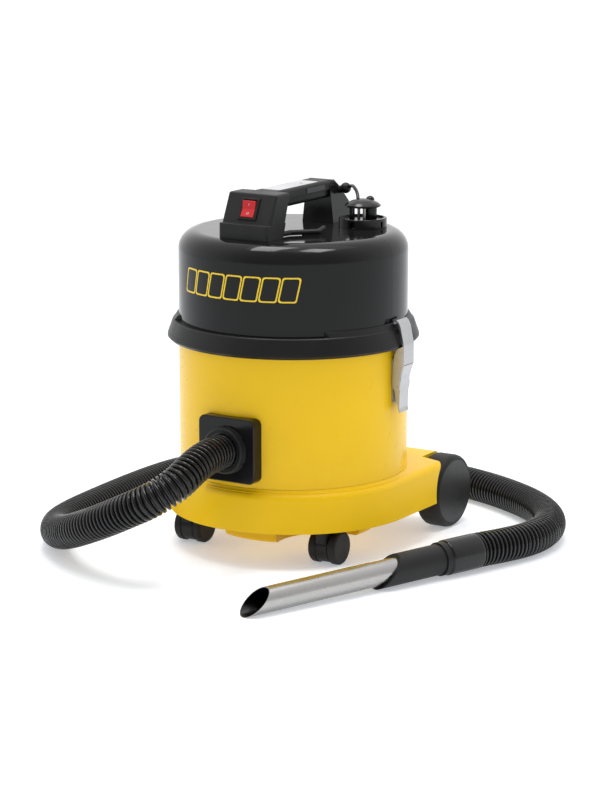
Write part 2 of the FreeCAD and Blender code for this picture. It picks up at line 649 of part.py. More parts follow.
def grip_pad():
    """Soft finger pad let into the grip's right side."""
    return box(GRIP_HALF_WIDTH - 0.9, GRIP_HALF_WIDTH + 0.7, 4, 48,
               GRIP_TOP - 11, GRIP_TOP - 4.6)


def grip_inlay():
    w = GRIP_HALF_WIDTH - 4.0
    plate = box(-w, w, -56.8, 39.8, GRIP_TOP - 0.8, GRIP_TOP + 0.3)
    return soften(plate, 3.0, lambda edge: runs_along(edge, UP)).cut(
        cylinder(2.6, GRIP_TOP - 2, GRIP_TOP + 2, SCREW_X, SCREW_Y))


def handle_screw():
    head = turned([(0, 0), (2.4, 0), (2.4, 0.6), (1.8, 1.0), (0, 1.0)],
                  Vector(SCREW_X, SCREW_Y, GRIP_TOP - 0.8))
    return head.fuse(cylinder(1.5, GRIP_TOP - 10, GRIP_TOP - 0.8, SCREW_X, SCREW_Y))


def rear_post():
    """Post behind the grip: upright front face, sloping back, spreading towards its foot."""
    foot = TOWER_HALF_FOOT
    top = TOWER_HALF_WIDTH
    front = TOWER_FRONT
    side_view = prism([(-foot, front, DOME_TOP), (-foot, front, GRIP_TOP - 6),
                       (-foot, front + 5, GRIP_TOP), (-foot, front + 13, GRIP_TOP - 0.5),
                       (-foot, front + 23, GRIP_TOP - 8), (-foot, front + 46, GRIP_TOP - 32),
                       (-foot, front + 55, DOME_TOP + 13), (-foot, front + 55, DOME_TOP)],
                      Vector(2 * foot, 0, 0))
    front_view = prism([(-foot, front - 1, DOME_TOP), (-top, front - 1, GRIP_TOP - 6),
                        (-top, front - 1, GRIP_TOP + 5), (top, front - 1, GRIP_TOP + 5),
                        (top, front - 1, GRIP_TOP - 6), (foot, front - 1, DOME_TOP)],
                       Vector(0, 60, 0))
    post = side_view.common(front_view)
    post = soften(post, 2.0, lambda edge: middle(edge).y > front + 0.5
                  and middle(edge).z > DOME_TOP + 2)
    return post.cut(box(4 - top, top - 4, front + 4, front + 36, DOME_TOP - 1, GRIP_TOP - 30))


def cable_hook():
    """Low arm on the dome with an upturned tip, for winding the lead."""
    z = DOME_TOP + 4.0
    bends = [Vector(26, -84, z), Vector(31.5, -57.8, z), Vector(56.7, -30.7, z),
             Vector(57, -18, z + 2.9)]
    arm = cylinder(3.0, DOME_TOP, z, 44, -44)
    for start, end in zip(bends[:-1], bends[1:]):
        arm = arm.fuse(rod(3.4, start, end)).fuse(Part.makeSphere(3.4, end))
    return arm.cut(switch_box_block())


def lead_gland():
    """Collar and ball on the post's side, from which the lead leaves."""
    ball_middle = Vector(27.5, 86.4, 461.5)
    collar = rod(5.0, Vector(10, 82.5, 456.5), ball_middle)
    return collar.fuse(Part.makeSphere(7.2, ball_middle)).cut(rear_post())


def parked(shape):
    """Move a piece drawn about the Z axis, facing -Y, to the plug's park."""
    moved = shape.copy()
    moved.rotate(Vector(0, 0, 0), UP, PARK_TURN)
    moved.translate(Vector(PARK_X, PARK_Y, 0))
    return moved


def plug_holder():
    """Round park for the mains plug, with holes for its pins and slots in its wall."""
    top = DOME_TOP + PARK_HEIGHT
    holder = soften(cylinder(PARK_RADIUS, DOME_TOP, top), 1.2,
                    lambda edge: middle(edge).z > top - 0.1)
    holder = holder.cut(cylinder(PARK_RADIUS - 4.0, top - 2.5, top + 1))
    for low, high in ((-17.6, -11.5), (22.8, 25.2)):
        slot = box(low, high, -PARK_RADIUS - 1, 0, DOME_TOP + 1.5, top - 3.5)
        holder = holder.cut(slot.cut(cylinder(PARK_RADIUS - 3.0, DOME_TOP, top)))
    for x, y in PIN_PLACES:
        holder = holder.cut(cylinder(2.2, DOME_TOP + 3, top + 1, x, y))
    holder = parked(holder.cut(cylinder(9.0, DOME_TOP + 2, top + 1, 10.0, 7.5)))
    return holder.cut(rear_post())


def plug_body():
    """Round mains plug: a shallow domed cap on two stems, with a small knob behind."""
    z = PLUG_BOTTOM
    cap = turned([(0, z), (PLUG_RADIUS - 1.2, z), (PLUG_RADIUS, z + 1.0),
                  (PLUG_RADIUS - 0.4, z + 2.8), (19.5, z + 5.6), (13.5, z + 8.3),
                  (6.8, z + 9.9), (0, z + 10.4)])
    for x, y, radius in ((-14.0, 1.0, 3.6), (10.0, 7.5, 8.6)):
        cap = cap.fuse(cylinder(radius, DOME_TOP + PARK_HEIGHT - 2.4, z + 1, x, y))
    knob = Part.makeSphere(5.8, Vector(9.6, 6.0, z + 7.4))
    return parked(cap.fuse(knob))


def plug_pins():
    pins = [cylinder(2.0, DOME_TOP + 4, PLUG_BOTTOM - 0.05, x, y) for x, y in PIN_PLACES]
    return [parked(pin) for pin in pins]


# ---- side latches ---------------------------------------------------------------------
def across(radius, y0, y1, centre):
    """A cylinder along Y through a point (x, z) of the latch, from y0 to y1 off its middle."""
    x, z = centre
    return Part.makeCylinder(radius, y1 - y0, Vector(x, LATCH_Y + y0, z), BACK)


def latch_slab(outline, y0, y1):
    """An outline in the latch's own (x, z) plane, given thickness along Y."""
    points = [(x, LATCH_Y + y0, z) for x, z in outline]
    return prism(points, Vector(0, y1 - y0, 0))


def both_cheeks(outline, inner, outer):
    return latch_slab(outline, inner, outer).fuse(latch_slab(outline, -outer, -inner))


def latch_bracket():
    """Back plate on the drum with two ears for the lever's rivets."""
    px, pz = LATCH_PIVOT
    plate = box(145, 152.4, LATCH_Y - 10, LATCH_Y + 10, 202, 262)
    plate = soften(plate, 4.0, lambda edge: runs_along(edge, RIGHT))
    ear = [(150, pz + 5), (px - 1, pz + 3.9), (px - 1, pz - 3.9), (150, pz - 9)]
    plate = plate.fuse(both_cheeks(ear, 8.2, 10.0))
    for side in (-1, 1):
        tip = across(3.9, min(8.2 * side, 10.0 * side), max(8.2 * side, 10.0 * side),
                     LATCH_PIVOT)
        plate = plate.fuse(tip)
    plate = plate.cut(cylinder(DRUM_RADIUS, 150, 300))
    return plate.cut(across(1.5, -20, 20, LATCH_PIVOT)).removeSplitter()


def latch_rivets():
    """Two short rivets, one through each ear."""
    rivet = across(1.5, 8.2, 11.2, LATCH_PIVOT).fuse(across(2.6, 7.3, 8.2, LATCH_PIVOT))
    return [rivet, rivet.mirror(Vector(0, LATCH_Y, 0), BACK)]


def latch_lever():
    """Channel-shaped lever, flared at its top, with the strap's pin between its cheeks."""
    face = [(169.4, 252.4), (167.2, 246), (164.9, 238), (163.9, 228), (163.2, 214),
            (162.6, 203), (162.4, 196), (163.8, 190.5)]
    back = [(162.3, 190.2), (160.6, 195), (159.4, 201), (156.4, 212), (154.4, 222),
            (153.6, 232), (154.6, 243), (156.2, 248.5), (160, 251), (165, 251.6)]
    plate = face + [(x - 1.6, z) for x, z in face[::-1]]
    lever = latch_slab(plate, -11.4, 11.4).fuse(both_cheeks(face + back, 10.2, 11.4))
    lever = lever.cut(across(1.5 + RUN_CLEARANCE, -20, 20, LATCH_PIVOT))
    return lever.fuse(across(1.6, -13.8, 13.8, STRAP_PIVOT)).removeSplitter()


def latch_strap():
    """Strap whose legs hang on the lever's pin and whose hook grips the ring's edge."""
    face = [(152.8, 311.6), (158.2, 311.2), (161.8, 308.4), (164.5, 303.0),
            (169.7, 279.0), (169.7, 253.2)]
    back = [(167.7, 253.2), (167.7, 278.6), (162.6, 302.2), (160.2, 307.0),
            (157.4, 309.2), (154.8, 309.6), (154.4, 305.3), (152.8, 305.3)]
    sx, sz = STRAP_PIVOT
    leg = [(169.7, 276.5), (169.7, 253.2), (166.4, 244), (163.9, 235), (sx + 5, sz + 3),
           (sx + 4.4, sz - 3), (sx + 1.6, sz - 5.4), (sx - 2, sz - 5.2), (sx - 4.8, sz - 2),
           (153.3, 234), (153.6, 247), (155.6, 266.0), (158.4, 270.4), (162.2, 274.2)]
    strap = latch_slab(face + back, -13.0, 13.0)
    strap = soften(strap, 2.5, lambda edge: runs_along(edge, RIGHT) and middle(edge).z < 254)
    strap = strap.fuse(both_cheeks(leg, 11.7, 13.0))
    return strap.cut(across(1.6 + RUN_CLEARANCE, -20, 20, STRAP_PIVOT)).removeSplitter()


# ---- hose, cuff and steel tube --------------------------------------------------------
def along_tool(distance):
    axis = (TOOL_TIP - TOOL_START).normalize()
    return TOOL_START + axis * distance


def tool_rod(radius, start, end):
    return rod(radius, along_tool(start), along_tool(end))


def oblique_cut(distance, lean_factor, side_factor):
    """A big box whose face crosses the tool's axis obliquely; its lower edge leads."""
    axis = (TOOL_TIP - TOOL_START).normalize()
    side = axis.cross(UP).normalize()
    rise = side.cross(axis)
    normal = (axis + rise * lean_factor + side * side_factor).normalize()
    block = Part.makeBox(300, 300, 300, Vector(-150, -150, 0))
    block.Placement = FreeCAD.Placement(along_tool(distance), FreeCAD.Rotation(UP, normal))
    return block


def hose_cuff():
    """Soft cuff at the hose's end, with a slot under the bleed ring."""
    axis_length = CUFF_END
    body = tool_rod(CUFF_RADIUS, 0, axis_length).cut(tool_rod(17.0, 2, axis_length + 5))
    return soften(body, 1.5, lambda edge: edge.Length > 2 * math.pi * CUFF_RADIUS - 1
                  and (middle(edge) - along_tool(0)).Length > 40)


def cuff_adapter():
    """Stiff wand end inside the cuff, cut off obliquely."""
    outer = tool_rod(ADAPTER_RADIUS, CUFF_END, ADAPTER_END + 40)
    outer = outer.fuse(tool_rod(17.0, 12.0, CUFF_END + 1))
    bore = tool_rod(TUBE_NECK_RADIUS, TUBE_INSIDE, 400).fuse(tool_rod(14.0, 0, 400))
    return outer.cut(bore).cut(oblique_cut(ADAPTER_END, 0.9, 0.0))


def bleed_ring():
    """Air-control ring that turns on the adapter beside the cuff."""
    body = tool_rod(21.6, CUFF_END + 0.4, CUFF_END + 9).cut(
        tool_rod(ADAPTER_RADIUS + RUN_CLEARANCE, CUFF_END - 1, CUFF_END + 12))
    return body


def steel_tube():
    """Open tube whose tip is cut off obliquely."""
    length = (TOOL_TIP - TOOL_START).Length
    body = tool_rod(TUBE_RADIUS, TUBE_NECK_END, length + 100)
    body = body.fuse(tool_rod(TUBE_NECK_RADIUS, TUBE_INSIDE, TUBE_NECK_END + 1))
    body = body.cut(tool_rod(TUBE_NECK_RADIUS - TUBE_WALL, TUBE_INSIDE - 1, length + 101))
    body = body.cut(tool_rod(TUBE_RADIUS - TUBE_WALL, TUBE_NECK_END + 2, length + 101))
    return body.cut(oblique_cut(length, 1.13, -0.15))


def build():
    os.makedirs("parts", exist_ok=True)
    save("dolly_base", dolly_base())
    save("under_pan", under_pan())
    save("rear_axle", rear_axle())
    save("axle_clips", axle_clips())
    save_pair("rear_wheel", rear_wheel())
    save_pair("wheel_cap", wheel_cap())
    save("castor_sleeves", castor_sleeves())
    save_pair("castor_fork", castor_fork())
    save_pair("castor_wheels", castor_wheels())

    save("drum", drum())
    save("drum_seal", drum_seal())
    save("inlet_plate", inlet_plate())
    save("inlet_sleeve", inlet_sleeve())
    save("inlet_seal", inlet_seal())
    save("inlet_screws", group(inlet_screws()))
    save("hose_collar", hose_collar())
    save("hose_end", hose_end())
    save("bag_collar", bag_collar())
    save("dust_bag", dust_bag())

    save("head_ring", head_ring())
    save("head_dome", head_dome())
    save("head_floor", head_floor())
    save("motor_gasket", motor_gasket())
    save("fan_case", fan_case())
    save("motor_housing", motor_housing())
    save("motor_rotor", motor_rotor())
    save("exhaust_foam", exhaust_foam())
    save("filter_cage", filter_cage())
    save("filter_sleeve", filter_sleeve())

    save("switch_box", switch_box())
    save("switch_bezel", switch_bezel())
    save("switch_rocker", switch_rocker())
    save("grip_upper", grip_upper())
    save("grip_lower", grip_lower())
    save("grip_inlay", grip_inlay())
    pad = grip_pad()
    save("grip_pads", group([pad, mirrored(pad)]))
    save("handle_screw", handle_screw())
    save("rear_post", rear_post())
    hook = cable_hook()
    save("cable_hooks", group([hook, mirrored(hook)]))
    save("lead_gland", lead_gland())
    save("plug_holder", plug_holder())
    save("plug_body", plug_body())
    save("plug_pins", group(plug_pins()))
    save("supply_lead", flexible_tube(LEAD_ROUTE, LEAD_RADIUS, "supply lead"))

    bracket = latch_bracket()
    save("latch_brackets", group([bracket, mirrored(bracket)]))
    rivets = latch_rivets()
    save("latch_rivets", group(rivets + [mirrored(rivet) for rivet in rivets]))
    save_pair("latch_lever", latch_lever())
    save_pair("latch_strap", latch_strap())

    save("hose", flexible_tube(HOSE_ROUTE, HOSE_RADIUS, "hose"))
    save("hose_cuff", hose_cuff())
    save("cuff_adapter", cuff_adapter())
    save("bleed_ring", bleed_ring())
    save("steel_tube", steel_tube())


build()
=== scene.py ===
"""Looks of a drum dry vacuum cleaner: yellow drum and dolly, black motor head, ribbed hose.

Shapes are in millimetres in the drum's own frame (drum axis at x = y = 0, floor at z = 0,
front towards -Y), and at() turns them into the frame's metres. Materials, lights and the
spacing of points along the hose are in metres.
"""
import json
import math

import bmesh
import bpy
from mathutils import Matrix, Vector


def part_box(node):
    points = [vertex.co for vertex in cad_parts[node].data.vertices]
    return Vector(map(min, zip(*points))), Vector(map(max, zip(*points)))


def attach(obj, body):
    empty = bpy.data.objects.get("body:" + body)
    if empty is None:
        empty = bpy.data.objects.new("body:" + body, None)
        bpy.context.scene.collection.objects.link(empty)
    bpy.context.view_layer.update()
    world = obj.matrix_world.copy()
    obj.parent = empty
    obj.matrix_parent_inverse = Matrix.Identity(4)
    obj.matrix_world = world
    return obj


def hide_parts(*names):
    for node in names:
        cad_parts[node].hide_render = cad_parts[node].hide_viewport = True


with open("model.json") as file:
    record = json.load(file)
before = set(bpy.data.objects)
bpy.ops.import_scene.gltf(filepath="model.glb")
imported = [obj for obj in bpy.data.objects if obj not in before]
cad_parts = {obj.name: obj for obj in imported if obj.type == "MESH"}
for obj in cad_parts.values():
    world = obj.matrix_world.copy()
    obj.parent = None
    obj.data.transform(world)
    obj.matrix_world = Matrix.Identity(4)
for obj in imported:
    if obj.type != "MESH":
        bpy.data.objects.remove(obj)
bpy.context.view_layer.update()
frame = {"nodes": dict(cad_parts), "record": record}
scene = bpy.context.scene
nodes = frame["nodes"]

MM = 0.001
drum_low, drum_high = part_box("drum")
AXIS_Y = (drum_low.y + drum_high.y) / 2     # the drum's axis, in metres

DRUM_RADIUS = 150.0
HOSE_RADIUS = 22.5


def at(x, y, z):
    """A point given in millimetres in the drum's frame."""
    return Vector((x * MM, y * MM + AXIS_Y, z * MM))


# ---- camera ---------------------------------------------------------------------------
CAMERA_TURN = 32.0          # degrees from the machine's front towards its right
CAMERA_DISTANCE = 3500.0
CAMERA_HEIGHT = 952.5
CAMERA_PITCH = 12.324       # degrees below level
CAMERA_AIM = 0.141          # degrees that the view is turned off the drum's axis
CAMERA_LENS = 122.16
CAMERA_SENSOR = 36.0
CAMERA_REACH = 100.0        # metres


def make_camera():
    """Camera where the photograph's own camera was worked out to be."""
    turn = math.radians(CAMERA_TURN)
    camera = bpy.data.objects.new("camera", bpy.data.cameras.new("camera"))
    scene.collection.objects.link(camera)
    camera.location = at(CAMERA_DISTANCE * math.sin(turn), -CAMERA_DISTANCE * math.cos(turn),
                         CAMERA_HEIGHT)
    camera.rotation_euler = (math.radians(90 - CAMERA_PITCH), 0,
                             math.radians(CAMERA_TURN - CAMERA_AIM))
    camera.data.lens = CAMERA_LENS
    camera.data.sensor_width = CAMERA_SENSOR
    camera.data.clip_end = CAMERA_REACH
    scene.camera = camera


# ---- material helpers -------------------------------------------------------------------
NOISE_LOW, NOISE_HIGH = 0.3, 0.7    # most of a noise texture's values lie between these
EDGE_RADIUS = 0.0006                # how softly moulded edges catch the light
COAT_ROUGHNESS = 0.14


def new_material(name):
    material = bpy.data.materials.new(name)
    material.use_nodes = True
    tree = material.node_tree
    return material, tree, tree.nodes["Principled BSDF"]


def object_place(tree, scale=(1, 1, 1)):
    """Coordinates fixed to the piece, in metres times scale."""
    coordinates = tree.nodes.new("ShaderNodeTexCoord")
    mapping = tree.nodes.new("ShaderNodeMapping")
    mapping.inputs["Scale"].default_value = scale
    tree.links.new(coordinates.outputs["Object"], mapping.inputs["Vector"])
    return mapping.outputs["Vector"]


def noise(tree, place, scale, detail, roughness=0.55):
    texture = tree.nodes.new("ShaderNodeTexNoise")
    texture.inputs["Scale"].default_value = scale
    texture.inputs["Detail"].default_value = detail
    texture.inputs["Roughness"].default_value = roughness
    tree.links.new(place, texture.inputs["Vector"])
    return texture.outputs["Fac"]


def spread(tree, value, low, high):
    """Map a noise value onto a range of numbers."""
    node = tree.nodes.new("ShaderNodeMapRange")
    node.inputs["From Min"].default_value = NOISE_LOW
    node.inputs["From Max"].default_value = NOISE_HIGH
    node.inputs["To Min"].default_value = low
    node.inputs["To Max"].default_value = high
    tree.links.new(value, node.inputs["Value"])
    return node.outputs["Result"]


def blend_colours(tree, factor, first, second):
    node = tree.nodes.new("ShaderNodeMix")
    node.data_type = "RGBA"
    node.inputs["A"].default_value = (*first, 1)
    node.inputs["B"].default_value = (*second, 1)
    tree.links.new(factor, node.inputs["Factor"])
    return node.outputs["Result"]


def bump(tree, height, strength, distance, below=None):
    """Bumps from a height value, on top of the bumps or soft edges below."""
    node = tree.nodes.new("ShaderNodeBump")
    node.inputs["Strength"].default_value = strength
    node.inputs["Distance"].default_value = distance
    tree.links.new(height, node.inputs["Height"])
    if below is not None:
        tree.links.new(below, node.inputs["Normal"])
    return node.outputs["Normal"]


def moulded(name, colour, rough, variation, grain, grain_depth, specular, waves=0.0, coat=0.0):
    """Moulded or painted surface: cloudy tone, uneven gloss, fine grain, long waves."""
    material, tree, shader = new_material(name)
    place = object_place(tree)
    cloud = spread(tree, noise(tree, place, scale=14.0, detail=4.0), 0.0, 1.0)
    dark = [channel * (1 - variation) for channel in colour]
    light = [min(1.0, channel * (1 + variation)) for channel in colour]
    tree.links.new(blend_colours(tree, cloud, dark, light), shader.inputs["Base Color"])
    smear = noise(tree, place, scale=45.0, detail=5.0, roughness=0.7)
    tree.links.new(spread(tree, smear, rough - 0.05, rough + 0.07), shader.inputs["Roughness"])
    edges = tree.nodes.new("ShaderNodeBevel")
    edges.samples = 4
    edges.inputs["Radius"].default_value = EDGE_RADIUS
    surface = bump(tree, noise(tree, place, grain, detail=2.0), strength=0.5,
                   distance=grain_depth, below=edges.outputs["Normal"])
    if waves > 0:
        surface = bump(tree, noise(tree, place, scale=70.0, detail=1.0), strength=0.6,
                       distance=waves, below=surface)
    tree.links.new(surface, shader.inputs["Normal"])
    shader.inputs["Coat Weight"].default_value = coat
    shader.inputs["Coat Roughness"].default_value = COAT_ROUGHNESS
    shader.inputs["Specular IOR Level"].default_value = specular
    return material


def metal(name, colour, rough, stretch, lines, depth=0.00003, spots=0.04):
    """Metal brushed along the axis with the small number in stretch, or plain if all are equal."""
    material, tree, shader = new_material(name)
    shader.inputs["Metallic"].default_value = 1.0
    brushed = noise(tree, object_place(tree, stretch), lines, detail=4.0, roughness=0.7)
    cloud = spread(tree, noise(tree, object_place(tree), scale=60.0, detail=4.0), 0.0, 1.0)
    dark = [channel * (1 - spots * 2) for channel in colour]
    tree.links.new(blend_colours(tree, cloud, dark, colour), shader.inputs["Base Color"])
    tree.links.new(spread(tree, brushed, rough - 0.05, rough + 0.09), shader.inputs["Roughness"])
    tree.links.new(bump(tree, brushed, strength=0.35, distance=depth), shader.inputs["Normal"])
    return material


def fibrous(name, colour, scale, depth):
    """Paper, foam or felt."""
    material, tree, shader = new_material(name)
    fibres = noise(tree, object_place(tree), scale, detail=8.0, roughness=0.75)
    dark = [channel * 0.7 for channel in colour]
    tree.links.new(blend_colours(tree, spread(tree, fibres, 0, 1), dark, colour),
                   shader.inputs["Base Color"])
    tree.links.new(bump(tree, fibres, strength=0.8, distance=depth), shader.inputs["Normal"])
    shader.inputs["Roughness"].default_value = 0.92
    return material


# ---- materials --------------------------------------------------------------------------
YELLOW_DRUM = moulded("drum_paint", (0.92, 0.570, 0.004), rough=0.30, variation=0.01,
                      grain=700, grain_depth=0.000005, specular=0.22, waves=0.00001, coat=0.06)
YELLOW_DOLLY = moulded("dolly_plastic", (0.90, 0.555, 0.004), rough=0.36, variation=0.02,
                       grain=1200, grain_depth=0.00002, specular=0.22)
DOME_BLACK = moulded("dome_plastic", (0.008, 0.008, 0.008), rough=0.09, variation=0.1,
                     grain=900, grain_depth=0.000002, specular=0.22, waves=0.00001)
RING_BLACK = moulded("ring_plastic", (0.010, 0.010, 0.010), rough=0.38, variation=0.1,
                     grain=1400, grain_depth=0.00003, specular=0.21)
HANDLE_BLACK = moulded("handle_plastic", (0.012, 0.012, 0.012), rough=0.45, variation=0.1,
                       grain=1500, grain_depth=0.00003, specular=0.25)
PARK_BLACK = moulded("park_plastic", (0.009, 0.009, 0.009), rough=0.18, variation=0.1,
                     grain=900, grain_depth=0.00001, specular=0.3)
TRIM_BLACK = moulded("trim_plastic", (0.011, 0.011, 0.011), rough=0.38, variation=0.12,
                     grain=1500, grain_depth=0.00003, specular=0.22)
INLET_BLACK = moulded("socket_plastic", (0.008, 0.008, 0.008), rough=0.16, variation=0.1,
                      grain=900, grain_depth=0.00001, specular=0.25, waves=0.00002)
HOSE_BLACK = moulded("hose_plastic", (0.008, 0.008, 0.008), rough=0.19, variation=0.15,
                     grain=600, grain_depth=0.00002, specular=0.36)
TYRE_BLACK = moulded("tyre_rubber", (0.014, 0.014, 0.014), rough=0.5, variation=0.15,
                     grain=1200, grain_depth=0.00006, specular=0.22)
CAP_GREY = moulded("cap_plastic", (0.028, 0.028, 0.028), rough=0.36, variation=0.1,
                   grain=1500, grain_depth=0.00003, specular=0.25)
ROCKER_RED = moulded("rocker_plastic", (0.50, 0.016, 0.020), rough=0.22, variation=0.05,
                     grain=900, grain_depth=0.00001, specular=0.35)
INLAY_GREY = moulded("inlay_plate", (0.43, 0.43, 0.44), rough=0.6, variation=0.08,
                     grain=1200, grain_depth=0.00002, specular=0.1)
PAD_GREY = moulded("pad_rubber", (0.075, 0.075, 0.08), rough=0.6, variation=0.1,
                   grain=1500, grain_depth=0.00008, specular=0.3)
LATCH_STEEL = metal("plated_steel", (0.47, 0.47, 0.48), rough=0.30, stretch=(1, 1, 0.15),
                    lines=500)
STEEL = metal("turned_steel", (0.60, 0.60, 0.61), rough=0.30, stretch=(0.2, 1, 1), lines=500)
TUBE_STEEL = metal("tube_steel", (0.40, 0.39, 0.38), rough=0.26, stretch=(0.3, 0.3, 0.3),
                   lines=90, depth=0.000002, spots=0.01)
PIN_METAL = metal("plated_pins", (0.30, 0.29, 0.27), rough=0.34, stretch=(1, 1, 0.2), lines=500)
GRAPHIC_YELLOW = moulded("printed_yellow", (0.86, 0.60, 0.030), rough=0.3, variation=0.01,
                         grain=900, grain_depth=0.000002, specular=0.3)
MARK_GREY = moulded("mark_grey", (0.50, 0.50, 0.50), rough=0.5, variation=0.02,
                    grain=900, grain_depth=0.000002, specular=0.2)
CARD = fibrous("card", (0.42, 0.30, 0.17), 900, 0.0001)
PAPER = fibrous("filter_paper", (0.60, 0.52, 0.40), 500, 0.0003)
FOAM = fibrous("grey_foam", (0.08, 0.08, 0.09), 700, 0.0006)
FELT = fibrous("filter_felt", (0.72, 0.72, 0.69), 900, 0.0003)

# ---- mesh helpers -----------------------------------------------------------------------
SHARP_TURNED = math.radians(32)     # edges that turn by more than this stay sharp
SHARP_TUBE = math.radians(50)
SHARP_PRINT = math.radians(40)
WELD = 2e-6                         # metres within which two points become one
CORNER_SHARE = 0.48                 # the part of a side that one rounded corner may take


def mesh_piece(name, points, faces, material, sharp):
    """A new piece: outward normals, smooth shading with sharp edges kept, one material."""
    mesh = bpy.data.meshes.new(name)
    mesh.from_pydata([tuple(point) for point in points], [], faces)
    editor = bmesh.new()
    editor.from_mesh(mesh)
    bmesh.ops.remove_doubles(editor, verts=editor.verts, dist=WELD)
    bmesh.ops.recalc_face_normals(editor, faces=editor.faces)
    editor.to_mesh(mesh)
    editor.free()
    mesh.shade_smooth()
    mesh.set_sharp_from_angle(angle=sharp)
    mesh.materials.append(material)
    piece = bpy.data.objects.new(name, mesh)
    scene.collection.objects.link(piece)
    return piece


def ring_faces(rings, size, start=0):
    """Faces that join closed rings of points into one closed band, from point number start."""
    faces = []
    for ring in range(rings):
        here = start + ring * size
        there = start + (ring + 1) % rings * size
        for index in range(size):
            after = (index + 1) % size
            faces.append((here + index, there + index, there + after, here + after))
    return faces


def rounded(points, radius, steps=4):
    """Round a closed outline's corners; radius is one number or a list with one per point."""
    count = len(points)
    radii = radius if isinstance(radius, list) else [radius] * count
    result = []
    for index, point in enumerate(points):
        here = Vector(point)
        back = Vector(points[index - 1]) - here
        ahead = Vector(points[(index + 1) % count]) - here
        turn = math.pi - back.angle(ahead)
        reach = min(radii[index] * math.tan(turn / 2), CORNER_SHARE * back.length,
                    CORNER_SHARE * ahead.length)
        start = here + back.normalized() * reach
        end = here + ahead.normalized() * reach
        for step in range(steps + 1):
            t = step / steps
            result.append(start * (1 - t) ** 2 + here * 2 * t * (1 - t) + end * t ** 2)
    return result


def lathe(name, profile, material, segments, origin=(0, 0, 0), axis=(0, 0, 1)):
    """Turn (radius, height) pairs about an axis that starts at origin."""
    turn = Vector(axis).normalized().to_track_quat("Z", "Y").to_matrix()
    start = at(*origin)
    points = []
    for step in range(segments):
        angle = 2 * math.pi * step / segments
        for radius, height in profile:
            local = Vector((radius * math.cos(angle), radius * math.sin(angle), height)) * MM
            points.append(start + turn @ local)
    return mesh_piece(name, points, ring_faces(segments, len(profile)), material, SHARP_TURNED)


def stands_for(piece, body, slot, *replaced):
    """Hang a piece on the body it rides on and hide the CAD nodes it replaces; slot is not used.
    """
    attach(piece, body)
    if replaced:
        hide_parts(*replaced)
    return piece


# ---- hose -------------------------------------------------------------------------------
HOSE_ROUTE = [
    (0, -172, 153), (0, -206, 153), (1, -240, 145), (-2, -271, 130), (-24, -292, 112),
    (-58, -294, 95), (-93, -289, 78), (-129, -280, 62), (-165, -265, 47), (-200, -243, 34),
    (-233, -214, 25), (-258, -176, 22.7), (-269, -129, 22.7), (-275, -78, 22.7),
    (-280, -26, 22.7), (-284, 28, 22.7), (-286, 84, 22.7), (-283, 140, 22.7),
    (-268, 193, 22.7), (-234, 241, 22.7), (-184, 280, 22.7), (-124, 305, 22.7),
    (-61, 319, 22.7), (5, 323, 22.7), (67, 317, 22.7), (125, 301, 22.7), (179, 277, 22.7),
    (230, 246, 22.7), (273, 206, 22.7), (302, 158, 22.7), (311, 105, 22.7),
    (301.3, 52.7, 23.0), (282, 4.4, 24.2),
]
HOSE_SPACING = 0.0008       # metres between the points of the fine line along the route
HOSE_PATH_STEP = 8          # every eighth of them describes the cord
HOSE_SIDES = 40
RIB_PITCH = 6.7
RIB_SHAPE = [(0.0, 17.6), (0.12, 17.9), (0.21, 20.6), (0.32, 22.2), (0.50, HOSE_RADIUS),
             (0.68, 22.2), (0.79, 20.6), (0.88, 17.9)]     # (share of the pitch, radius)


def route_line(points, spacing):
    """Points evenly spaced along the NURBS spline that has these control points."""
    curve = bpy.data.curves.new("route", "CURVE")
    curve.dimensions = "3D"
    curve.resolution_u = 24
    spline = curve.splines.new("NURBS")
    spline.points.add(len(points) - 1)
    for control, place in zip(spline.points, points):
        control.co = (*at(*place), 1)
    spline.order_u = 3
    spline.use_endpoint_u = True
    holder = bpy.data.objects.new("route", curve)
    scene.collection.objects.link(holder)
    mesh = bpy.data.meshes.new_from_object(holder)
    line = [vertex.co.copy() for vertex in mesh.vertices]
    bpy.data.objects.remove(holder)
    lengths = [0.0]
    for before, after in zip(line, line[1:]):
        lengths.append(lengths[-1] + (after - before).length)
    count = max(2, round(lengths[-1] / spacing))
    result = []
    index = 0
    for step in range(count + 1):
        target = lengths[-1] * step / count
        while index < len(line) - 2 and lengths[index + 1] < target:
            index += 1
        share = (target - lengths[index]) / (lengths[index + 1] - lengths[index])
        result.append(line[index].lerp(line[index + 1], share))
    return result, lengths[-1]


def tube_along(name, line, radii, material):
    """A closed tube round a line, with one radius for each point of the line."""
    points = []
    faces = []
    side = None
    last = len(line) - 1
    for index, place in enumerate(line):
        ahead = (line[min(index + 1, last)] - line[max(index - 1, 0)]).normalized()
        if side is None:
            side = ahead.cross(Vector((0, 0, 1))).normalized()
        side = (side - ahead * side.dot(ahead)).normalized()
        upward = side.cross(ahead)
        for step in range(HOSE_SIDES):
            angle = 2 * math.pi * step / HOSE_SIDES
            out = side * math.cos(angle) + upward * math.sin(angle)
            points.append(place + out * radii[index] * MM)
        if index:
            here = (index - 1) * HOSE_SIDES
            there = index * HOSE_SIDES
            for step in range(HOSE_SIDES):
                after = (step + 1) % HOSE_SIDES
                faces.append((here + step, here + after, there + after, there + step))
    faces.append(tuple(range(HOSE_SIDES)))
    faces.append(tuple(range(last * HOSE_SIDES, (last + 1) * HOSE_SIDES)))
    return mesh_piece(name, points, faces, material, SHARP_TUBE)


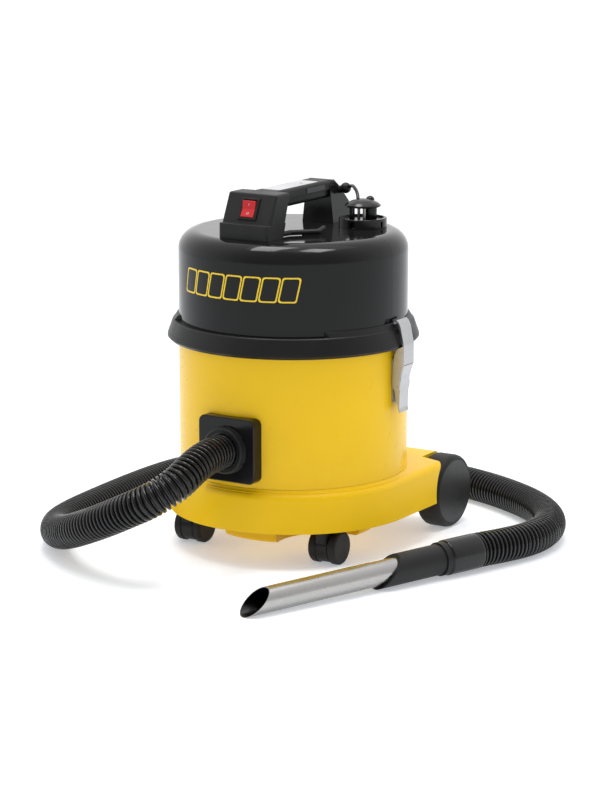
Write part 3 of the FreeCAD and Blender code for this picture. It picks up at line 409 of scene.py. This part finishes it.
def make_hose():
    """Corrugated hose with rounded ribs along the route: the piece, its path, its length."""
    fine, length = route_line(HOSE_ROUTE, HOSE_SPACING)
    ribs = round(length / (RIB_PITCH * MM))
    line = []
    radii = []
    for rib in range(ribs):
        for share, radius in RIB_SHAPE:
            target = (rib + share) / ribs * (len(fine) - 1)
            index = min(int(target), len(fine) - 2)
            line.append(fine[index].lerp(fine[index + 1], target - index))
            radii.append(radius)
    line.append(fine[-1])
    radii.append(RIB_SHAPE[0][1])
    hose = tube_along("ribbed_hose", line, radii, HOSE_BLACK)
    stands_for(hose, "machine", "hose_black", "hose")
    return hose, fine[::HOSE_PATH_STEP], length


# ---- cuff and steel tube ----------------------------------------------------------------
TOOL_START = Vector((282.0, 4.4, 24.2))
TOOL_TIP = Vector((149.7, -327.7, 16.5))
TOOL_AXIS = (TOOL_TIP - TOOL_START).normalized()
CUFF_RIBS = 2
CUFF_RIB_PITCH = 6.0
CUFF_LENGTH = 64.0
CUFF_RADIUS = 22.8
CUFF_START_RADIUS = 22.3    # where the plain part rises out of the last rib
CUFF_END_RADIUS = 20.5
CUFF_BORE = 17.0
CUFF_RAMP = 2.0             # length of the slopes at both ends of the plain part
CUFF_CORNERS = [0.5, 1, 2.2, 1, 0.5, 0.5]
CUFF_SEGMENTS = 96
BORE_RADIUS = 15.4          # painted shade reaches out to here, between the steel tube's inner wall and its outer one
# colour of the shade painted inside the bore
BORE_SHADE = 0.05


def make_cuff():
    """Cuff that takes up the hose's ribs at its near end and is plain from there on."""
    ribs = [(radius, (rib + share) * CUFF_RIB_PITCH)
            for rib in range(CUFF_RIBS) for share, radius in RIB_SHAPE]
    plain_start = CUFF_RIBS * CUFF_RIB_PITCH
    plain = rounded([(CUFF_START_RADIUS, plain_start), (CUFF_RADIUS, plain_start + CUFF_RAMP),
                     (CUFF_RADIUS, CUFF_LENGTH - CUFF_RAMP), (CUFF_END_RADIUS, CUFF_LENGTH),
                     (CUFF_BORE, CUFF_LENGTH), (CUFF_BORE, CUFF_RAMP)], CUFF_CORNERS)
    cuff = lathe("soft_cuff", ribs + plain, HOSE_BLACK, CUFF_SEGMENTS, TOOL_START, TOOL_AXIS)
    return stands_for(cuff, "machine", "hose_black", "hose_cuff")


def vector_step(tree, operation, first, second=None, output="Vector"):
    """One vector operation on two sockets, or on a socket and a fixed vector."""
    step = tree.nodes.new("ShaderNodeVectorMath")
    step.operation = operation
    tree.links.new(first, step.inputs[0])
    if isinstance(second, Vector):
        step.inputs[1].default_value = second
    elif second is not None:
        tree.links.new(second, step.inputs[1])
    return step.outputs[output]


def paint_bore_shade():
    """Paint shade into the steel tube's bore: a dark colour close to the tube's axis."""
    tree = TUBE_STEEL.node_tree
    base_colour = tree.nodes["Principled BSDF"].inputs["Base Color"]
    into = nodes["steel_tube"].matrix_world.inverted()
    start = into @ at(*TOOL_START)
    axis = (into @ (at(*TOOL_START) + TOOL_AXIS) - start).normalized()
    place = tree.nodes.new("ShaderNodeTexCoord").outputs["Object"]
    across = vector_step(tree, "CROSS_PRODUCT", vector_step(tree, "SUBTRACT", place, start), axis)
    inside = tree.nodes.new("ShaderNodeMath")
    inside.operation = "LESS_THAN"
    inside.inputs[1].default_value = BORE_RADIUS * MM
    tree.links.new(vector_step(tree, "LENGTH", across, output="Value"), inside.inputs[0])
    mix = tree.nodes.new("ShaderNodeMix")
    mix.data_type = "RGBA"
    mix.inputs["B"].default_value = (BORE_SHADE, BORE_SHADE, BORE_SHADE, 1)
    tree.links.new(inside.outputs[0], mix.inputs["Factor"])
    tree.links.new(base_colour.links[0].from_socket, mix.inputs["A"])
    tree.links.new(mix.outputs["Result"], base_colour)


# ---- drum foot --------------------------------------------------------------------------
FOOT_LEVEL = 97.5
FOOT_SHAPE = [(0.1, 0.0), (4.5, 0.0), (4.4, 1.6), (2.4, 2.0), (1.2, 2.8), (0.5, 4.1),
              (0.1, 5.7)]       # (distance from the drum's wall, height over FOOT_LEVEL)
FOOT_SEGMENTS = 192


def make_foot_bead():
    """Soft bead where the drum meets the dolly's deck."""
    profile = [(DRUM_RADIUS + out, FOOT_LEVEL + height) for out, height in FOOT_SHAPE]
    bead = lathe("drum_foot_bead", profile, YELLOW_DOLLY, FOOT_SEGMENTS)
    return stands_for(bead, "machine", "dolly_yellow")


# ---- printed strips ---------------------------------------------------------------------
def strip_points(outer, inner, place, low, high):
    """Four points at each step of a raised strip between two outlines of equal length.

    place turns a point of an outline and a height over the surface into a place.
    """
    points = []
    for outer_point, inner_point in zip(outer, inner):
        points += [place(*outer_point, low), place(*outer_point, high),
                   place(*inner_point, high), place(*inner_point, low)]
    return points


# ---- graphic on the dome ----------------------------------------------------------------
GRAPHIC_START, GRAPHIC_END = -124.5, -53.6      # degrees round the dome
GRAPHIC_LOW, GRAPHIC_HIGH = 344.5, 377.0
GRAPHIC_HEIGHT = GRAPHIC_HIGH - GRAPHIC_LOW
GRAPHIC_PANELS = 7
GRAPHIC_MARGIN = 0.6        # half the gap between two panels
GRAPHIC_STROKE = 2.0
GRAPHIC_SLANT = 7.0
GRAPHIC_CORNER = 4.0
GRAPHIC_CORNER_STEPS = 5
GRAPHIC_SPACING = 2.0       # longest straight step, so that the outline can bend round
PRINT_LOW, PRINT_HIGH = 0.02, 0.16


def outline_steps(corners):
    """A panel's outline with rounded corners and points close enough together to be bent."""
    outline = rounded(corners, GRAPHIC_CORNER, GRAPHIC_CORNER_STEPS)
    steps = []
    for before, after in zip(outline, outline[1:] + outline[:1]):
        count = max(1, math.ceil((after - before).length / GRAPHIC_SPACING))
        steps += [before.lerp(after, step / count) for step in range(count)]
    return steps


def on_dome(x, z, height):
    angle = math.radians(GRAPHIC_START) + x / DRUM_RADIUS
    radius = DRUM_RADIUS + height
    return at(radius * math.cos(angle), radius * math.sin(angle), z)


def panel_outlines(left, right):
    """The outer and the inner outline of one slanted panel, unrolled from the dome."""
    outer = outline_steps([(left, GRAPHIC_LOW), (right, GRAPHIC_LOW),
                           (right + GRAPHIC_SLANT, GRAPHIC_HIGH),
                           (left + GRAPHIC_SLANT, GRAPHIC_HIGH)])
    middle_x = (left + right + GRAPHIC_SLANT) / 2
    middle_z = (GRAPHIC_LOW + GRAPHIC_HIGH) / 2
    shrink_x = 1 - 2 * GRAPHIC_STROKE / (right - left)
    shrink_z = 1 - 2 * GRAPHIC_STROKE / GRAPHIC_HEIGHT
    inner = []
    for x, z in outer:
        slope = (z - middle_z) * GRAPHIC_SLANT / GRAPHIC_HEIGHT
        inner.append((middle_x + (x - middle_x - slope) * shrink_x + slope * shrink_z,
                      middle_z + (z - middle_z) * shrink_z))
    return outer, inner


def make_graphic():
    """Plain slanted panels outlined in yellow, printed on the dome."""
    width = math.radians(GRAPHIC_END - GRAPHIC_START) * DRUM_RADIUS
    pitch = (width - GRAPHIC_SLANT) / GRAPHIC_PANELS
    points = []
    faces = []
    for panel in range(GRAPHIC_PANELS):
        outer, inner = panel_outlines(panel * pitch + GRAPHIC_MARGIN,
                                      (panel + 1) * pitch - GRAPHIC_MARGIN)
        faces += ring_faces(len(outer), 4, len(points))
        points += strip_points(outer, inner, on_dome, PRINT_LOW, PRINT_HIGH)
    graphic = mesh_piece("dome_graphic", points, faces, GRAPHIC_YELLOW, SHARP_PRINT)
    return stands_for(graphic, "machine", "drum_yellow")


# ---- marks on the rocker ----------------------------------------------------------------
FRONT_BACK, FRONT_RISE = 16.9, 37.0     # how far the switch box's front leans back as it rises
FRONT_FOOT = (-113.5, 437.0)            # (y, z) where that front starts
ROCKER_Z = 454.8
ROCKER_Y = FRONT_FOOT[0] + FRONT_BACK * (ROCKER_Z - FRONT_FOOT[1]) / FRONT_RISE
ROCKER_LEAN = math.atan2(FRONT_BACK, FRONT_RISE)
ROCKER_TILT = math.radians(6.5)         # how far the rocker is pressed over at rest
ROCKER_PIVOT_DEPTH = 2.0
ROCKER_MIDDLE = 1.6                     # how far the middle of its V face stands out
ROCKER_RISE = 2.0                       # how much farther the ends stand out
ROCKER_HALF_HEIGHT = 10.8
MARK_OFFSET = 5.6                       # from the rocker's middle to the middle of a mark
MARK_STEPS = 32
MARK_LOW, MARK_HIGH = 0.02, 0.12
BAR_OUTER, BAR_INNER = (0.45, 1.7), (0.05, 1.2)     # half widths and half heights
RING_OUTER, RING_INNER = (1.7, 1.7), (1.1, 1.1)


def on_rocker(x, z, lift):
    """A point of the rocker's shallow V face at rest, raised by lift."""
    stands_out = ROCKER_MIDDLE + ROCKER_RISE * abs(z) / ROCKER_HALF_HEIGHT + lift
    y = -stands_out - ROCKER_PIVOT_DEPTH
    tilted_y = ROCKER_PIVOT_DEPTH + y * math.cos(ROCKER_TILT) - z * math.sin(ROCKER_TILT)
    tilted_z = y * math.sin(ROCKER_TILT) + z * math.cos(ROCKER_TILT)
    back = tilted_y * math.cos(ROCKER_LEAN) + tilted_z * math.sin(ROCKER_LEAN)
    rise = -tilted_y * math.sin(ROCKER_LEAN) + tilted_z * math.cos(ROCKER_LEAN)
    return at(x, ROCKER_Y + back, ROCKER_Z + rise)


def ellipse(half_sizes, middle):
    """An ellipse about (0, middle) with the given half width and half height."""
    angles = [2 * math.pi * step / MARK_STEPS for step in range(MARK_STEPS)]
    return [(half_sizes[0] * math.cos(angle), middle + half_sizes[1] * math.sin(angle))
            for angle in angles]


def make_rocker_marks():
    """The usual bar and ring of a mains switch."""
    for name, outer, inner, middle in (("rocker_bar", BAR_OUTER, BAR_INNER, MARK_OFFSET),
                                       ("rocker_ring", RING_OUTER, RING_INNER, -MARK_OFFSET)):
        points = strip_points(ellipse(outer, middle), ellipse(inner, middle), on_rocker,
                              MARK_LOW, MARK_HIGH)
        mark = mesh_piece(name, points, ring_faces(MARK_STEPS, 4), MARK_GREY, SHARP_PRINT)
        stands_for(mark, "rocker", "inlay_grey")


# ---- stage ------------------------------------------------------------------------------
WORLD_FAR, WORLD_NEAR = 1.15, 0.38      # strength beyond the machine, and on the camera's side
WORLD_FADE = (-0.1, 0.85)               # it dims between these cosines with the camera's side
WORLD_LIFT = 0.1                        # upward slope of the direction that is dimmest
FLOOR_HALF = 20.0
FLOOR_COLOUR = (0.75, 0.765, 0.78)      # a little blue, against the drum's yellow light
FLOOR_GLOW = (0.93, 0.96, 1)
FLOOR_GLOW_STRENGTH = 0.38
LIGHTS = [      # name, place, target and size in metres, power in watts
    ("overhead", (0, 0.2, 2.6), (0, 0, 0.2), (2.0, 2.0), 8),
    ("window_left", (-0.31, -0.18, 1.87), (0.05, -0.16, 0.41), (0.9, 0.45), 12),
    ("window_right", (0.48, -0.05, 1.86), (0.10, -0.12, 0.41), (0.5, 0.45), 9),
]


def area_light(name, place, target, size, power):
    light = bpy.data.lights.new(name, "AREA")
    light.shape = "RECTANGLE"
    light.size, light.size_y = size
    light.energy = power
    holder = bpy.data.objects.new(name, light)
    scene.collection.objects.link(holder)
    holder.location = place
    holder.rotation_euler = (Vector(target) - Vector(place)).to_track_quat("-Z", "Y").to_euler()


def make_world():
    """White studio all round, dimmer on the side from which the machine is seen."""
    world = bpy.data.worlds.new("studio")
    world.use_nodes = True
    tree = world.node_tree
    background = tree.nodes["Background"]
    place = tree.nodes.new("ShaderNodeTexCoord").outputs["Generated"]
    turn = math.radians(CAMERA_TURN)
    camera_side = Vector((math.sin(turn), -math.cos(turn), WORLD_LIFT))
    towards = vector_step(tree, "DOT_PRODUCT", place, camera_side, "Value")
    strength = tree.nodes.new("ShaderNodeMapRange")
    strength.interpolation_type = "SMOOTHSTEP"
    strength.inputs["From Min"].default_value = WORLD_FADE[0]
    strength.inputs["From Max"].default_value = WORLD_FADE[1]
    strength.inputs["To Min"].default_value = WORLD_FAR
    strength.inputs["To Max"].default_value = WORLD_NEAR
    tree.links.new(towards, strength.inputs["Value"])
    tree.links.new(strength.outputs["Result"], background.inputs["Strength"])
    background.inputs["Color"].default_value = (1, 1, 1, 1)
    scene.world = world


def make_floor():
    """Pale floor that glows a little, so that shadows on it stay light."""
    mesh = bpy.data.meshes.new("floor")
    half = FLOOR_HALF
    mesh.from_pydata([(-half, -half, 0), (half, -half, 0), (half, half, 0), (-half, half, 0)],
                     [], [(0, 1, 2, 3)])
    floor = bpy.data.objects.new("floor", mesh)
    scene.collection.objects.link(floor)
    material, _, shader = new_material("pale_floor")
    shader.inputs["Base Color"].default_value = (*FLOOR_COLOUR, 1)
    shader.inputs["Roughness"].default_value = 0.7
    shader.inputs["Specular IOR Level"].default_value = 0.1
    shader.inputs["Emission Color"].default_value = (*FLOOR_GLOW, 1)
    shader.inputs["Emission Strength"].default_value = FLOOR_GLOW_STRENGTH
    mesh.materials.append(material)


# ---- looks of the CAD pieces --------------------------------------------------------------
SLOT_LOOKS = {
    "dolly_yellow": YELLOW_DOLLY, "drum_yellow": YELLOW_DRUM, "steel": STEEL,
    "motor_grey": CAP_GREY, "wheel_black": TYRE_BLACK, "cap_grey": CAP_GREY,
    "castor_black": TRIM_BLACK, "castor_wheel": TYRE_BLACK, "trim_black": TRIM_BLACK,
    "seal_rubber": TYRE_BLACK, "gloss_black": DOME_BLACK, "ring_black": RING_BLACK,
    "hose_black": HOSE_BLACK, "card": CARD, "paper": PAPER, "foam": FOAM,
    "filter_cloth": FELT, "handle_black": HANDLE_BLACK, "rocker_red": ROCKER_RED,
    "inlay_grey": INLAY_GREY, "pad_grey": PAD_GREY, "plug_black": PARK_BLACK,
    "brass_pins": PIN_METAL, "cable_black": HOSE_BLACK, "latch_steel": LATCH_STEEL,
    "adapter_black": HANDLE_BLACK, "tube_steel": TUBE_STEEL,
}
NODE_LOOKS = {"inlet_plate": INLET_BLACK, "plug_holder": PARK_BLACK, "rear_post": PARK_BLACK,
              "handle_screw": TRIM_BLACK}       # pieces that differ from the rest of their slot


def paint_cad_pieces():
    for entry in frame["record"]["subparts"]:
        name = entry["node"]
        materials = nodes[name].data.materials
        materials.clear()
        materials.append(NODE_LOOKS.get(name, SLOT_LOOKS[entry["material_slot"]]))


make_camera()
make_floor()
make_world()
for light in LIGHTS:
    area_light(*light)
scene.view_settings.view_transform = "Standard"

hose, hose_path, hose_length = make_hose()
cuff = make_cuff()
# painted shade inside the steel tube's bore
paint_bore_shade()
make_foot_bead()
make_graphic()
make_rocker_marks()
paint_cad_pieces()
